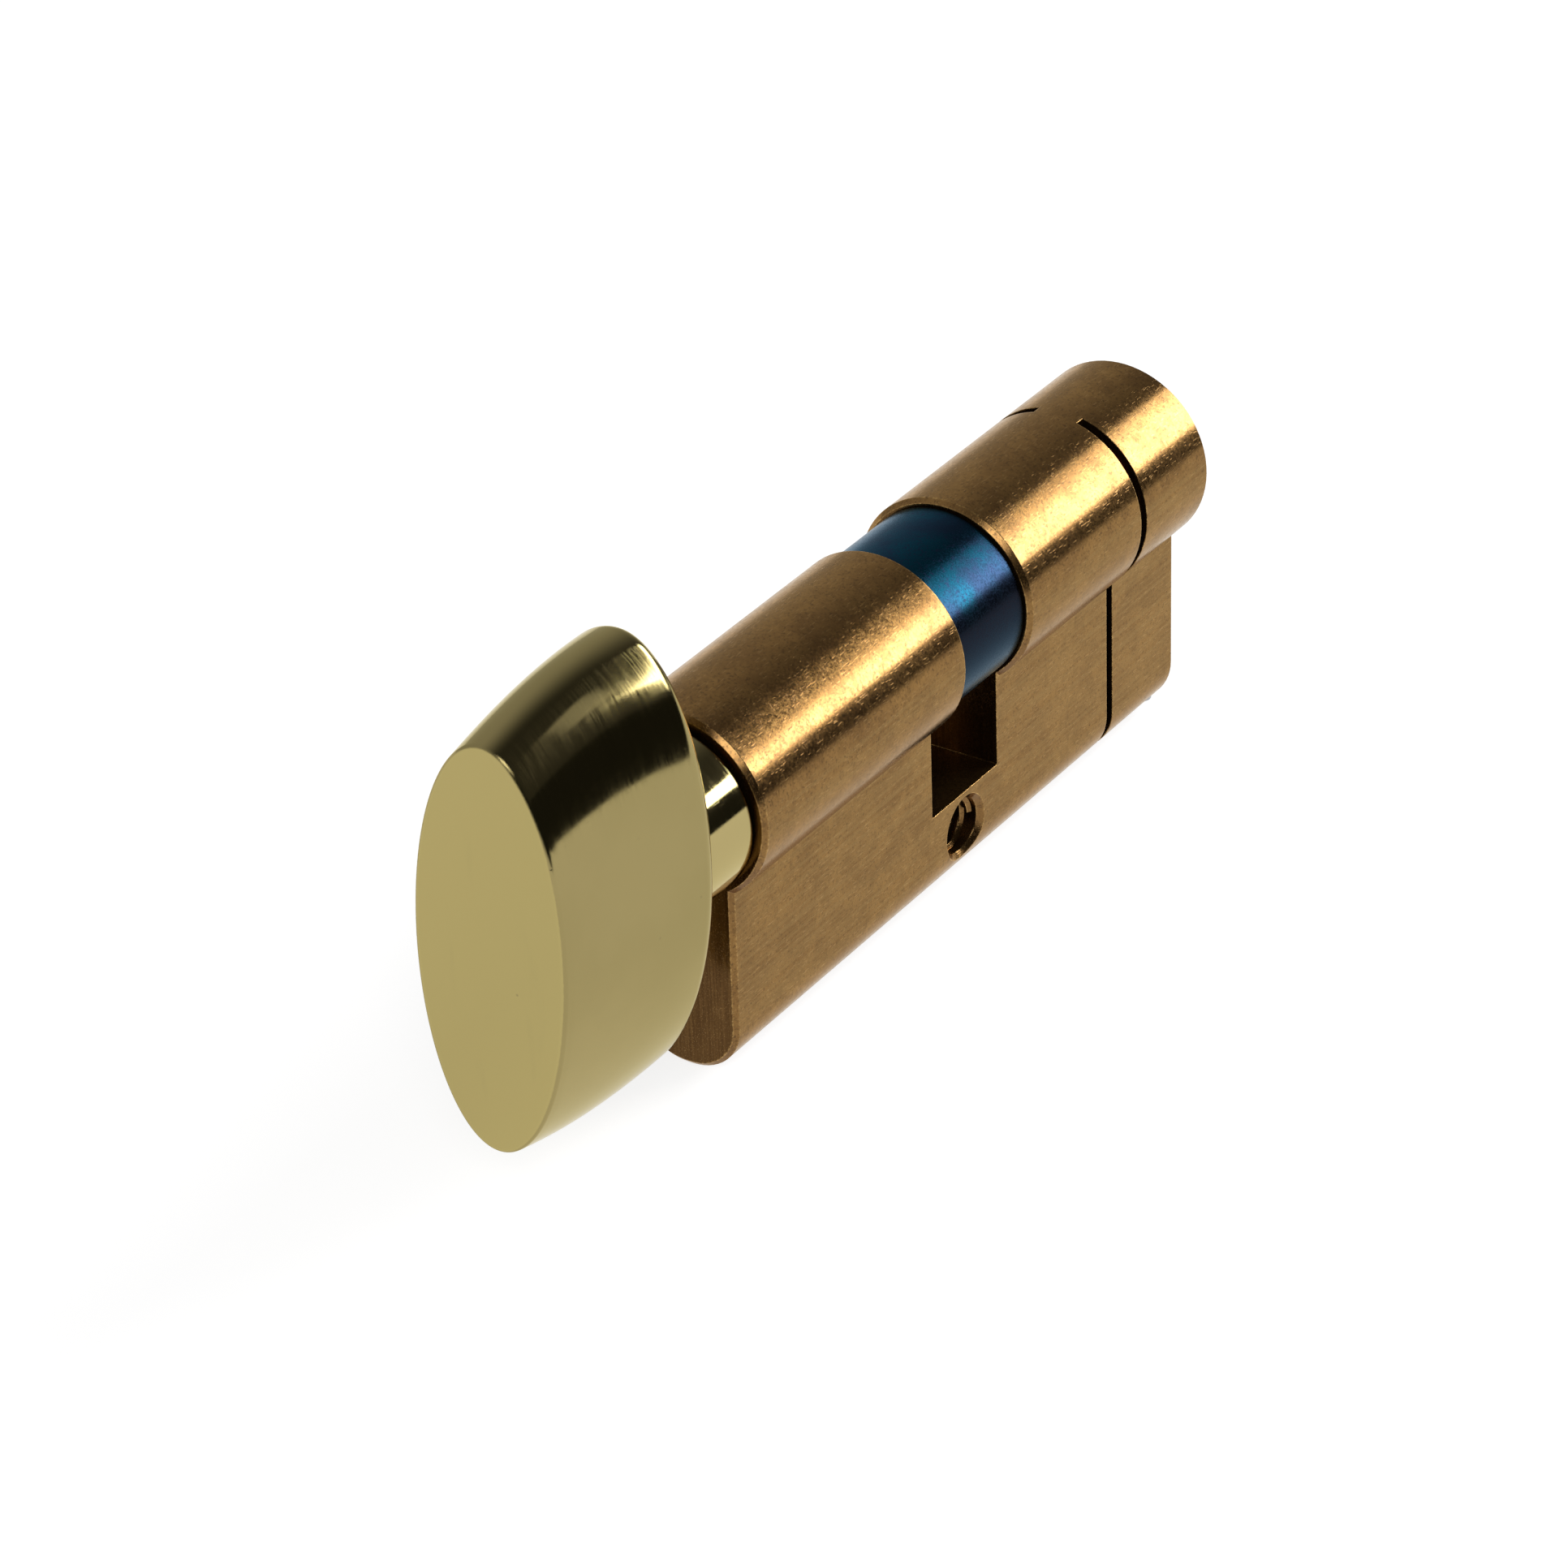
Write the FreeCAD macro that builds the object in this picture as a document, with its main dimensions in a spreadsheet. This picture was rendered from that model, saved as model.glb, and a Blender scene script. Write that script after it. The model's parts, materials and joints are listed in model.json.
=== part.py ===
import FreeCAD, Part
import math
import operator
import os

import Sketcher

# Euro profile thumb turn cylinder, 35/35, in millimetres.
# X runs along the cylinder: the thumb turn is at the -X end and the key goes in at the +X end.
# The origin is on the barrel's axis, in the middle of the cam gap. The web hangs down to -Z.
# The knob is seen from the -Y side. The fixing screw runs along Y below the cam gap.

Vector = FreeCAD.Vector
Placement = FreeCAD.Placement
Rotation = FreeCAD.Rotation
X_DIRECTION = Vector(1, 0, 0)
Y_DIRECTION = Vector(0, 1, 0)
Z_DIRECTION = Vector(0, 0, 1)

# Steps of each key pin's length, counted from the key's face: the key's code
KEY_PIN_STEPS = [1, 3, 0, 4, 2, 3]
PIN_COUNT = len(KEY_PIN_STEPS)
PINS_BEFORE_SLIT = 2
# How far a cut runs past the face that it starts from, or a pad into its neighbour
PAST = 1.0

SIZES = [
    # The standard profile that the lock case is cut for
    ("barrel_diameter", 16.9, "round part of the profile, for a 17 mm hole"),
    ("web_width", 9.95, "flat part of the profile"),
    ("profile_height", 32.8, "top of the barrel to the bottom of the web"),
    ("web_corner_radius", 4.75, "bottom edges of the web"),
    ("turn_half", 35.0, "fixing screw to the thumb turn's face"),
    ("key_half", 35.0, "fixing screw to the key's face"),
    ("rim_chamfer", 0.4, "outer edges of the end faces"),
    ("cam_gap", 10.4, "width of the gap for the cam"),
    ("gap_floor", 15.2, "barrel axis to the floor of the cam gap"),
    # Fixing screw
    ("screw_thread", 5.0, "fixing screw's thread diameter"),
    ("screw_drop", 18.7, "barrel axis to the fixing screw's axis"),
    ("screw_chamfer", 0.5, "chamfer at the mouths of the screw hole"),
    # Snap-off line
    ("slit_place", 23.9, "fixing screw to the middle of the slit"),
    ("slit_width", 1.0, "width of the slit"),
    ("slit_depth", 1.2, "depth of the slit in the barrel"),
    ("web_slit_depth", 1.5, "depth of the slit in the web"),
    ("slit_bridge", 29.0, "degrees left uncut over the top"),
    # Bores
    ("bore_diameter", 13.0, "bore for the plug and the spindle"),
    ("running_gap", 0.03, "radial clearance of what turns"),
    ("snug_gap", 0.01, "radial clearance of what is pressed in"),
    ("side_gap", 0.05, "end clearance of what turns"),
    ("flange_diameter", 14.6, "plug's front flange"),
    ("flange_thick", 1.2, "thickness of the flange"),
    # Pin chambers
    ("pin_diameter", 2.6, "key pins and driver pins"),
    ("pin_gap", 0.05, "radial clearance of the pins"),
    ("pin_pitch", 3.6, "spacing of the pins"),
    ("split_pitch", 5.2, "spacing of the two pins beside the slit"),
    ("key_pin_short", 3.6, "shortest key pin"),
    ("key_pin_step", 0.45, "one step of the key's code"),
    ("pin_tip", 0.9, "length of a key pin's cone"),
    ("pin_tip_flat", 0.5, "flat end of the cone, diameter"),
    ("pin_foot_flat", 1.2, "flat foot of a key pin, diameter"),
    ("driver_length", 4.4, "driver pin"),
    ("driver_chamfer", 0.25, "edges of a driver pin"),
    ("pin_wire", 0.25, "wire of the pin springs"),
    ("pin_coil", 2.0, "mean diameter of the pin springs"),
    ("pin_turns", 9.0, "turns of a pin spring"),
    ("stopper_length", 1.9, "plug that closes a chamber"),
    ("stopper_recess", 0.35, "stopper above the bottom of the web"),
    ("chamber_top", 1.4, "top of the plug's chambers above the axis"),
    # Hardened pins in front of the chambers
    ("guard_diameter", 2.0, "hardened pin"),
    ("guard_inset", 1.9, "key's face to the hardened pins"),
    ("guard_spread", 5.4, "spacing of the two hardened pins"),
    ("guard_length", 12.0, "length of a hardened pin"),
    ("guard_recess", 1.3, "hardened pin above the bottom of the web"),
    # Keyway
    ("keyway_width", 2.4, "key blade's slot"),
    ("keyway_top", 5.0, "top of the keyway above the axis"),
    ("keyway_bottom", 3.4, "bottom of the keyway below the axis"),
    ("keyway_end", 6.4, "cam gap's middle to the keyway's end"),
    ("ward_depth", 0.8, "side ribs of the keyway"),
    ("ward_height", 1.2, "height of a rib"),
    ("ward_slope", 0.35, "height of a rib's slanted side"),
    # Plug and spindle inside the cam
    ("clip_thick", 0.6, "circlips"),
    ("clip_outer", 13.2, "outer diameter of the circlips"),
    ("clip_opening", 70.0, "degrees open in a circlip"),
    ("groove_diameter", 10.8, "circlip grooves"),
    ("collar_diameter", 11.8, "collar behind a groove"),
    ("collar_thick", 0.75, "thickness of the collar"),
    ("tail_diameter", 10.0, "tails of the plug and the spindle"),
    ("tail_gap", 0.3, "middle of the cam to the spindle's tail"),
    ("lug_width", 3.0, "lugs of the spindle and the clutch"),
    ("lug_reach", 12.4, "diameter over the lugs"),
    ("lug_gap", 0.05, "clearance beside a lug"),
    # Cam
    ("cam_diameter", 15.6, "cam's ring"),
    ("cam_side_gap", 0.2, "cam to each face of its gap"),
    ("cam_reach", 15.0, "axis to the end of the nose"),
    ("nose_width", 7.8, "width of the nose"),
    ("nose_corner", 1.2, "slanted corners of the nose's end"),
    ("nose_angle", 62.0, "nose from straight down at rest, degrees"),
    ("cam_recess", 13.6, "recesses in the cam's two sides"),
    ("cam_slot_reach", 12.6, "diameter over the slots in the cam"),
    # Clutch
    ("clutch_thick", 1.2, "thickness of the clutch bar"),
    ("clutch_travel", 2.1, "way that the key pushes the clutch"),
    ("clutch_core", 4.8, "diameter of the clutch's core"),
    ("clutch_core_length", 3.4, "length of the clutch's core"),
    ("clutch_core_gap", 0.05, "radial clearance of the core"),
    ("clutch_room", 0.15, "clutch bar to the side of its recess"),
    ("clutch_wire", 0.3, "wire of the clutch spring"),
    ("clutch_coil", 3.4, "mean diameter of the clutch spring"),
    ("clutch_turns", 8.0, "turns of the clutch spring"),
    ("clutch_spring_hole", 4.4, "hole for the clutch spring"),
    ("clutch_spring_depth", 9.35, "depth of that hole"),
    # Thumb turn
    ("neck_step", 0.9, "barrel's radius less the round neck's"),
    ("neck_length", 6.2, "length of the neck"),
    ("neck_gap", 0.35, "cylinder's face to the neck"),
    ("neck_chamfer", 0.25, "edge of the neck"),
    ("knob_depth", 18.9, "knob along the axis"),
    ("knob_overhang", 0.36, "oval at the back, wider than the barrel"),
    ("knob_middle_taper", 2.1, "oval half way, narrower than at the back"),
    ("knob_front_taper", 3.3, "oval at the front, narrower than at the back"),
    ("knob_front_height", 36.34, "oval at the front, upright"),
    ("knob_middle_height", 39.74, "oval half way, upright"),
    ("knob_back_height", 39.36, "oval at the back, upright"),
    ("knob_front_round", 0.3, "rounding of the front edge"),
    ("knob_back_round", 1.5, "rounding of the back edge"),
    ("knob_lean", 1.4, "oval against its square socket, degrees"),
    ("drive_width", 8.0, "square drive of the spindle"),
    ("drive_length", 5.8, "length of the square drive"),
    ("drive_gap", 0.02, "clearance beside the square drive"),
    ("drive_end_gap", 0.2, "clearance at the end of the square drive"),
    ("grub_diameter", 4.0, "grub screw in the neck"),
    ("grub_place", 3.0, "end of the neck to the grub screw"),
    ("grub_recess", 0.3, "grub screw below the neck's surface"),
    ("grub_socket", 2.0, "hexagon socket across flats"),
    ("grub_socket_depth", 1.6, "depth of the hexagon socket"),
]

doc = FreeCAD.newDocument("euro_thumb_turn_cylinder")
sheet = doc.addObject("Spreadsheet::Sheet", "Sizes")


class Size:
    """A size known both as a number and as the expression of the sheet's cells that gives it."""

    def __init__(self, number, text):
        self.number = number
        self.text = text

    def combined(self, other, work, sign):
        other = as_size(other)
        return Size(work(self.number, other.number), f"({self.text} {sign} {other.text})")

    def __add__(self, other):
        return self.combined(other, operator.add, "+")

    def __sub__(self, other):
        return self.combined(other, operator.sub, "-")

    def __mul__(self, other):
        return self.combined(other, operator.mul, "*")

    def __truediv__(self, other):
        return self.combined(other, operator.truediv, "/")

    def __neg__(self):
        return Size(-self.number, f"(0 - {self.text})")


def as_size(value):
    return value if isinstance(value, Size) else Size(float(value), repr(float(value)))


def root(size):
    return Size(math.sqrt(size.number), f"sqrt({size.text})")


def sine(size):
    return Size(math.sin(math.radians(size.number)), f"sin({size.text} * 1 deg)")


def cosine(size):
    return Size(math.cos(math.radians(size.number)), f"cos({size.text} * 1 deg)")


def chord_height(radius, offset):
    """Height of a circle at a distance from its centre line."""
    return root(radius * radius - offset * offset)


def fill_sheet():
    cells = {}
    for row, (alias, number, meaning) in enumerate(SIZES, start=1):
        sheet.set(f"A{row}", alias)
        sheet.set(f"B{row}", str(number))
        sheet.set(f"C{row}", meaning)
        sheet.setAlias(f"B{row}", alias)
        cells[alias] = Size(number, f"Sizes.{alias}")
    doc.recompute()
    return cells


def bind(obj, name, size):
    obj.setExpression(name, as_size(size).text)


def new_body(name):
    body = doc.addObject("PartDesign::Body", name)
    body.Label = name
    return body


def origin_feature(body, role):
    for feature in body.Origin.OriginFeatures:
        if feature.Role == role:
            return feature
    raise RuntimeError(f"{body.Name} has no {role}")


def new_sketch(body, name, plane, offset=None, turn=None):
    sketch = body.newObject("Sketcher::SketchObject", name)
    sketch.AttachmentSupport = (origin_feature(body, plane), [""])
    sketch.MapMode = "FlatFace"
    start = as_size(0 if offset is None else offset)
    angle = as_size(0 if turn is None else turn)
    sketch.AttachmentOffset = Placement(Vector(0, 0, start.number), Rotation(Z_DIRECTION, angle.number))
    if offset is not None:
        bind(sketch, "AttachmentOffset.Base.z", start)
    if turn is not None:
        bind(sketch, "AttachmentOffset.Rotation.Angle", angle)
    return sketch


def hold(sketch, constraint, size):
    """Add a constraint that takes its value from the sheet."""
    index = sketch.addConstraint(constraint)
    bind(sketch, f"Constraints[{index}]", size)


def arc_between(start, end, radius, turn):
    """The short arc from start to end, turning left for turn 1 and right for turn -1."""
    middle = (start + end) * 0.5
    across = end - start
    reach = across.Length / 2
    side = Vector(-across.y, across.x, 0).normalize() * turn
    centre = middle + side * math.sqrt(radius * radius - reach * reach)
    first, last = (start, end) if turn > 0 else (end, start)
    angles = [math.atan2(point.y - centre.y, point.x - centre.x) for point in (first, last)]
    return Part.ArcOfCircle(Part.Circle(centre, Z_DIRECTION, radius), angles[0], angles[1])


def draw_outline(sketch, corners):
    """Close a loop. A corner is (across, up), or (across, up, radius, turn) where an arc starts there."""
    corners = [(as_size(c[0]), as_size(c[1])) + tuple(c[2:]) for c in corners]
    places = [Vector(c[0].number, c[1].number, 0) for c in corners]
    ends = []
    for number, corner in enumerate(corners):
        start = places[number]
        end = places[(number + 1) % len(places)]
        if len(corner) == 2:
            piece = sketch.addGeometry(Part.LineSegment(start, end), False)
            ends.append((piece, 1, 2))
        else:
            radius, turn = corner[2:]
            piece = sketch.addGeometry(arc_between(start, end, radius.number, turn), False)
            ends.append((piece, 1, 2) if turn > 0 else (piece, 2, 1))
    for number, (piece, first, last) in enumerate(ends):
        following = ends[(number + 1) % len(ends)]
        sketch.addConstraint(Sketcher.Constraint("Coincident", piece, last, following[0], following[1]))
    for (piece, first, last), corner in zip(ends, corners):
        hold(sketch, Sketcher.Constraint("DistanceX", piece, first, corner[0].number), corner[0])
        hold(sketch, Sketcher.Constraint("DistanceY", piece, first, corner[1].number), corner[1])
        if len(corner) > 2:
            hold(sketch, Sketcher.Constraint("Radius", piece, corner[2].number), corner[2])


def draw_circle(sketch, across, up, radius):
    across, up, radius = as_size(across), as_size(up), as_size(radius)
    centre = Vector(across.number, up.number, 0)
    piece = sketch.addGeometry(Part.Circle(centre, Z_DIRECTION, radius.number), False)
    hold(sketch, Sketcher.Constraint("DistanceX", piece, 3, across.number), across)
    hold(sketch, Sketcher.Constraint("DistanceY", piece, 3, up.number), up)
    hold(sketch, Sketcher.Constraint("Radius", piece, radius.number), radius)


def extrude(body, kind, name, sketch, length, middle=False):
    """Pad or Pocket of a sketch along its normal, or to both sides of it."""
    feature = body.newObject(f"PartDesign::{kind}", name)
    feature.Profile = sketch
    if middle:
        feature.SideType = "Symmetric"
    bind(feature, "Length", length)
    if kind == "Pocket" and not middle:
        feature.Reversed = True
    return feature


def turn_round(body, kind, name, sketch, axis, angle=360.0):
    """Revolution or Groove of a sketch about one of the body's axes."""
    feature = body.newObject(f"PartDesign::{kind}", name)
    feature.Profile = sketch
    feature.ReferenceAxis = (origin_feature(body, axis), [""])
    bind(feature, "Angle", angle)
    return feature


def checked_cut(body, feature):
    """A pocket or groove that points away from the solid cuts nothing, so the volume has to fall."""
    doc.recompute()
    if not feature.Shape.Volume < feature.BaseFeature.Shape.Volume - 1e-6:
        raise RuntimeError(f"{feature.Name} cuts nothing from {body.Name}")


def lies_at(edge, x):
    box = edge.BoundBox
    return abs(box.XMin - x) < 1e-4 and abs(box.XMax - x) < 1e-4


def is_circle(edge, radius):
    return isinstance(edge.Curve, Part.Circle) and abs(edge.Curve.Radius - radius.number) < 1e-6


def bevel(body, name, test, size):
    """Chamfer the edges of the body that pass a test."""
    base = body.Tip
    edges = [f"Edge{number}" for number, edge in enumerate(base.Shape.Edges, start=1) if test(edge)]
    feature = body.newObject("PartDesign::Chamfer", name)
    feature.Base = (base, edges)
    bind(feature, "Size", size)
    doc.recompute()


cell = fill_sheet()

# Sizes worked out once from the sheet
barrel_r = cell["barrel_diameter"] / 2
web_half = cell["web_width"] / 2
web_bottom = barrel_r - cell["profile_height"]
gap_half = cell["cam_gap"] / 2
bore_r = cell["bore_diameter"] / 2
shaft_r = bore_r - cell["running_gap"]
flange_r = cell["flange_diameter"] / 2
mouth_r = flange_r + cell["running_gap"]
pin_r = cell["pin_diameter"] / 2
chamber_r = pin_r + cell["pin_gap"]
tail_r = cell["tail_diameter"] / 2
groove_r = cell["groove_diameter"] / 2
collar_r = cell["collar_diameter"] / 2
lug_half = cell["lug_width"] / 2
lug_r = cell["lug_reach"] / 2
lug_slot_half = lug_half + cell["lug_gap"]
lug_slot_r = cell["cam_slot_reach"] / 2
groove_inner = gap_half - cell["clip_thick"] - cell["side_gap"] * 2
collar_inner = groove_inner - cell["collar_thick"]
recess_floor = collar_inner - cell["side_gap"] * 2
clutch_low = collar_inner - cell["clutch_thick"] - cell["lug_gap"] * 2
clutch_recess = clutch_low - cell["clutch_room"]
plug_tail = clutch_low - cell["clutch_travel"] - cell["lug_gap"]
core_r = cell["clutch_core"] / 2
core_bore = core_r + cell["clutch_core_gap"]
neck_end = -(cell["turn_half"] + cell["neck_gap"])
neck_r = barrel_r - cell["neck_step"]
knob_back = neck_end - cell["neck_length"]
knob_front = knob_back - cell["knob_depth"]
knob_width = cell["barrel_diameter"] + cell["knob_overhang"]
drive_half = cell["drive_width"] / 2
drive_start = neck_end + cell["side_gap"]
drive_end = drive_start - cell["drive_length"]
stopper_low = web_bottom + cell["stopper_recess"]
stopper_high = stopper_low + cell["stopper_length"]
driver_low = -bore_r - cell["driver_length"]


def pin_place(number):
    """Place of a pin along X. Two pins stand in front of the slit and the rest behind it."""
    half = cell["split_pitch"] / 2
    if number < PINS_BEFORE_SLIT:
        return cell["slit_place"] + half + cell["pin_pitch"] * (PINS_BEFORE_SLIT - 1 - number)
    return cell["slit_place"] - half - cell["pin_pitch"] * (number - PINS_BEFORE_SLIT)


def guard_places():
    along = cell["key_half"] - cell["guard_inset"]
    return [(along, cell["guard_spread"] * side / 2) for side in (-1, 1)]


# The cylinder's housing
def web_corners(half, bottom, radius, top):
    return [
        (half, bottom + radius),
        (half, top),
        (-half, top),
        (-half, bottom + radius, radius, 1),
        (radius - half, bottom),
        (half - radius, bottom, radius, 1),
    ]


def slit_corners():
    """The slit's outline across the profile: open all round, apart from the bridge over the top."""
    clear = barrel_r + PAST
    below = web_bottom - PAST
    half_bridge = cell["slit_bridge"] / 2
    floor_r = barrel_r - cell["slit_depth"]
    web_floor = web_half - cell["web_slit_depth"]
    bottom = web_bottom + cell["web_slit_depth"]
    radius = cell["web_corner_radius"] - cell["web_slit_depth"]
    inside = floor_r * sine(half_bridge)
    inside_up = floor_r * cosine(half_bridge)
    outside = clear * sine(half_bridge) / cosine(half_bridge)
    joint = -chord_height(floor_r, web_floor)
    return [
        (-inside, inside_up),
        (-outside, clear),
        (-clear, clear),
        (-clear, below),
        (clear, below),
        (clear, clear),
        (outside, clear),
        (inside, inside_up, floor_r, -1),
        (web_floor, joint),
        (web_floor, bottom + radius, radius, -1),
        (web_floor - radius, bottom),
        (radius - web_floor, bottom, radius, -1),
        (-web_floor, bottom + radius),
        (-web_floor, joint, floor_r, -1),
    ]


def cut_body_bores(body):
    sketch = new_sketch(body, "bore_sketch", "XZ_Plane")
    mouth = cell["key_half"] - cell["flange_thick"] - cell["side_gap"]
    draw_outline(sketch, [
        (-cell["turn_half"] - PAST, 0),
        (-cell["turn_half"] - PAST, bore_r),
        (mouth, bore_r),
        (mouth, mouth_r),
        (cell["key_half"] + PAST, mouth_r),
        (cell["key_half"] + PAST, 0),
    ])
    checked_cut(body, turn_round(body, "Groove", "bores", sketch, "X_Axis"))


def cut_cam_gap(body):
    sketch = new_sketch(body, "gap_sketch", "XZ_Plane")
    above = barrel_r + PAST
    draw_outline(sketch, [
        (-gap_half, -cell["gap_floor"]),
        (gap_half, -cell["gap_floor"]),
        (gap_half, above),
        (-gap_half, above),
    ])
    checked_cut(body, extrude(body, "Pocket", "cam_gap", sketch, cell["barrel_diameter"] + PAST * 2, True))


def cut_fixing_hole(body):
    sketch = new_sketch(body, "screw_sketch", "XZ_Plane")
    draw_circle(sketch, 0, -cell["screw_drop"], cell["screw_thread"] / 2)
    checked_cut(body, extrude(body, "Pocket", "fixing_screw_hole", sketch, cell["web_width"] + PAST * 2, True))


def cut_chambers(body):
    """Chambers and hardened pins' holes are drilled from the bottom of the web."""
    sketch = new_sketch(body, "chamber_sketch", "XY_Plane", web_bottom - PAST)
    for number in range(PIN_COUNT):
        draw_circle(sketch, pin_place(number), 0, chamber_r)
    checked_cut(body, extrude(body, "Pocket", "pin_chambers", sketch, -web_bottom + PAST))
    sketch = new_sketch(body, "guard_sketch", "XY_Plane", web_bottom - PAST)
    for along, aside in guard_places():
        draw_circle(sketch, along, aside, cell["guard_diameter"] / 2 + cell["snug_gap"])
    depth = cell["guard_recess"] + cell["guard_length"] + PAST
    checked_cut(body, extrude(body, "Pocket", "guard_holes", sketch, depth))


def cut_slit(body):
    sketch = new_sketch(body, "slit_sketch", "YZ_Plane", cell["slit_place"])
    draw_outline(sketch, slit_corners())
    checked_cut(body, extrude(body, "Pocket", "slit", sketch, cell["slit_width"], True))


def make_housing():
    body = new_body("body")
    length = cell["turn_half"] + cell["key_half"]
    sketch = new_sketch(body, "barrel_sketch", "YZ_Plane", -cell["turn_half"])
    draw_circle(sketch, 0, 0, barrel_r)
    extrude(body, "Pad", "barrel", sketch, length)
    sketch = new_sketch(body, "web_sketch", "YZ_Plane", -cell["turn_half"])
    draw_outline(sketch, web_corners(web_half, web_bottom, cell["web_corner_radius"], as_size(0)))
    extrude(body, "Pad", "web", sketch, length)
    cut_body_bores(body)
    cut_cam_gap(body)
    cut_fixing_hole(body)
    ends = (-cell["turn_half"].number, cell["key_half"].number)

    def is_rim(edge):
        of_bore = is_circle(edge, bore_r) or is_circle(edge, mouth_r)
        return not of_bore and any(lies_at(edge, x) for x in ends)

    def is_gap_rim(edge):
        return is_circle(edge, barrel_r) and lies_at(edge, gap_half.number)

    def is_hole_mouth(edge):
        return is_circle(edge, cell["screw_thread"] / 2)

    bevel(body, "rims", is_rim, cell["rim_chamfer"])
    bevel(body, "gap_rim", is_gap_rim, cell["rim_chamfer"])
    bevel(body, "hole_mouths", is_hole_mouth, cell["screw_chamfer"])
    cut_chambers(body)
    cut_slit(body)
    return [body]


# What turns
def make_key_plug():
    body = new_body("key_plug")
    face = cell["key_half"]
    shoulder = face - cell["flange_thick"]
    bore_end = cell["keyway_end"] + cell["side_gap"]
    sketch = new_sketch(body, "plug_sketch", "XZ_Plane")
    draw_outline(sketch, [
        (plug_tail, core_bore),
        (plug_tail, tail_r),
        (collar_inner, tail_r),
        (collar_inner, collar_r),
        (groove_inner, collar_r),
        (groove_inner, groove_r),
        (gap_half, groove_r),
        (gap_half, shaft_r),
        (shoulder, shaft_r),
        (shoulder, flange_r),
        (face - cell["rim_chamfer"], flange_r),
        (face, flange_r - cell["rim_chamfer"]),
        (face, 0),
        (bore_end, 0),
        (bore_end, core_bore),
    ])
    turn_round(body, "Revolution", "turned_plug", sketch, "X_Axis")
    doc.recompute()
    cut_keyway(body)
    sketch = new_sketch(body, "cross_slot_sketch", "YZ_Plane", plug_tail - PAST)
    draw_outline(sketch, [
        (-lug_r, -lug_slot_half),
        (lug_r, -lug_slot_half),
        (lug_r, lug_slot_half),
        (-lug_r, lug_slot_half),
    ])
    depth = clutch_low + cell["clutch_thick"] + cell["lug_gap"] - plug_tail + PAST
    checked_cut(body, extrude(body, "Pocket", "cross_slot", sketch, depth))
    sketch = new_sketch(body, "plug_chamber_sketch", "XY_Plane", -shaft_r - PAST)
    for number in range(PIN_COUNT):
        draw_circle(sketch, pin_place(number), 0, chamber_r)
    checked_cut(body, extrude(body, "Pocket", "plug_chambers", sketch, shaft_r + cell["chamber_top"] + PAST))
    return [body]


def cut_keyway(body):
    """A slot for the key's blade, with one rib on each side."""
    half = cell["keyway_width"] / 2
    rib = half - cell["ward_depth"]
    slope = cell["ward_slope"]
    high = cell["ward_height"]
    low_rib = -cell["keyway_bottom"] + high * 2
    top_rib = low_rib + high * 2
    top = cell["keyway_top"]
    sketch = new_sketch(body, "keyway_sketch", "YZ_Plane", cell["keyway_end"])
    draw_outline(sketch, [
        (-half, -cell["keyway_bottom"]),
        (half, -cell["keyway_bottom"]),
        (half, low_rib),
        (rib, low_rib + slope),
        (rib, low_rib + high),
        (half, low_rib + high + slope),
        (half, top_rib + high),
        (rib, top_rib + high + slope),
        (rib, top),
        (-half, top),
        (-half, top_rib + high),
        (-rib, top_rib + high - slope),
        (-rib, top_rib),
        (-half, top_rib - slope),
    ])
    checked_cut(body, extrude(body, "Pocket", "keyway", sketch, cell["key_half"] - cell["keyway_end"] + PAST))


def lug_corners(outer):
    """Two lugs across the axis, rounded to the given radius at their ends."""
    end = chord_height(outer, lug_half)
    return [
        (-end, -lug_half),
        (end, -lug_half, outer, 1),
        (end, lug_half),
        (-end, lug_half, outer, 1),
    ]


def make_turn_spindle():
    body = new_body("turn_spindle")
    sketch = new_sketch(body, "spindle_sketch", "XZ_Plane")
    hole_r = cell["clutch_spring_hole"] / 2
    hole_end = -cell["tail_gap"] - cell["clutch_spring_depth"]
    draw_outline(sketch, [
        (drive_start, 0),
        (drive_start, shaft_r),
        (-gap_half, shaft_r),
        (-gap_half, groove_r),
        (-groove_inner, groove_r),
        (-groove_inner, collar_r),
        (-collar_inner, collar_r),
        (-collar_inner, tail_r),
        (-cell["tail_gap"], tail_r),
        (-cell["tail_gap"], hole_r),
        (hole_end, hole_r),
        (hole_end, 0),
    ])
    turn_round(body, "Revolution", "turned_spindle", sketch, "X_Axis")
    sketch = new_sketch(body, "drive_sketch", "YZ_Plane", drive_end)
    draw_outline(sketch, [
        (-drive_half, -drive_half),
        (drive_half, -drive_half),
        (drive_half, drive_half),
        (-drive_half, drive_half),
    ])
    extrude(body, "Pad", "square_drive", sketch, cell["drive_length"] + PAST)
    lug_length = collar_inner - cell["tail_gap"] - cell["side_gap"] * 2
    sketch = new_sketch(body, "lug_sketch", "YZ_Plane", -collar_inner)
    draw_outline(sketch, lug_corners(lug_r))
    extrude(body, "Pad", "lugs", sketch, lug_length)
    doc.recompute()
    sketch = new_sketch(body, "spring_hole_sketch", "YZ_Plane", hole_end)
    draw_circle(sketch, 0, 0, hole_r)
    checked_cut(body, extrude(body, "Pocket", "spring_hole", sketch, cell["clutch_spring_depth"] + PAST))
    return [body]


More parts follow.
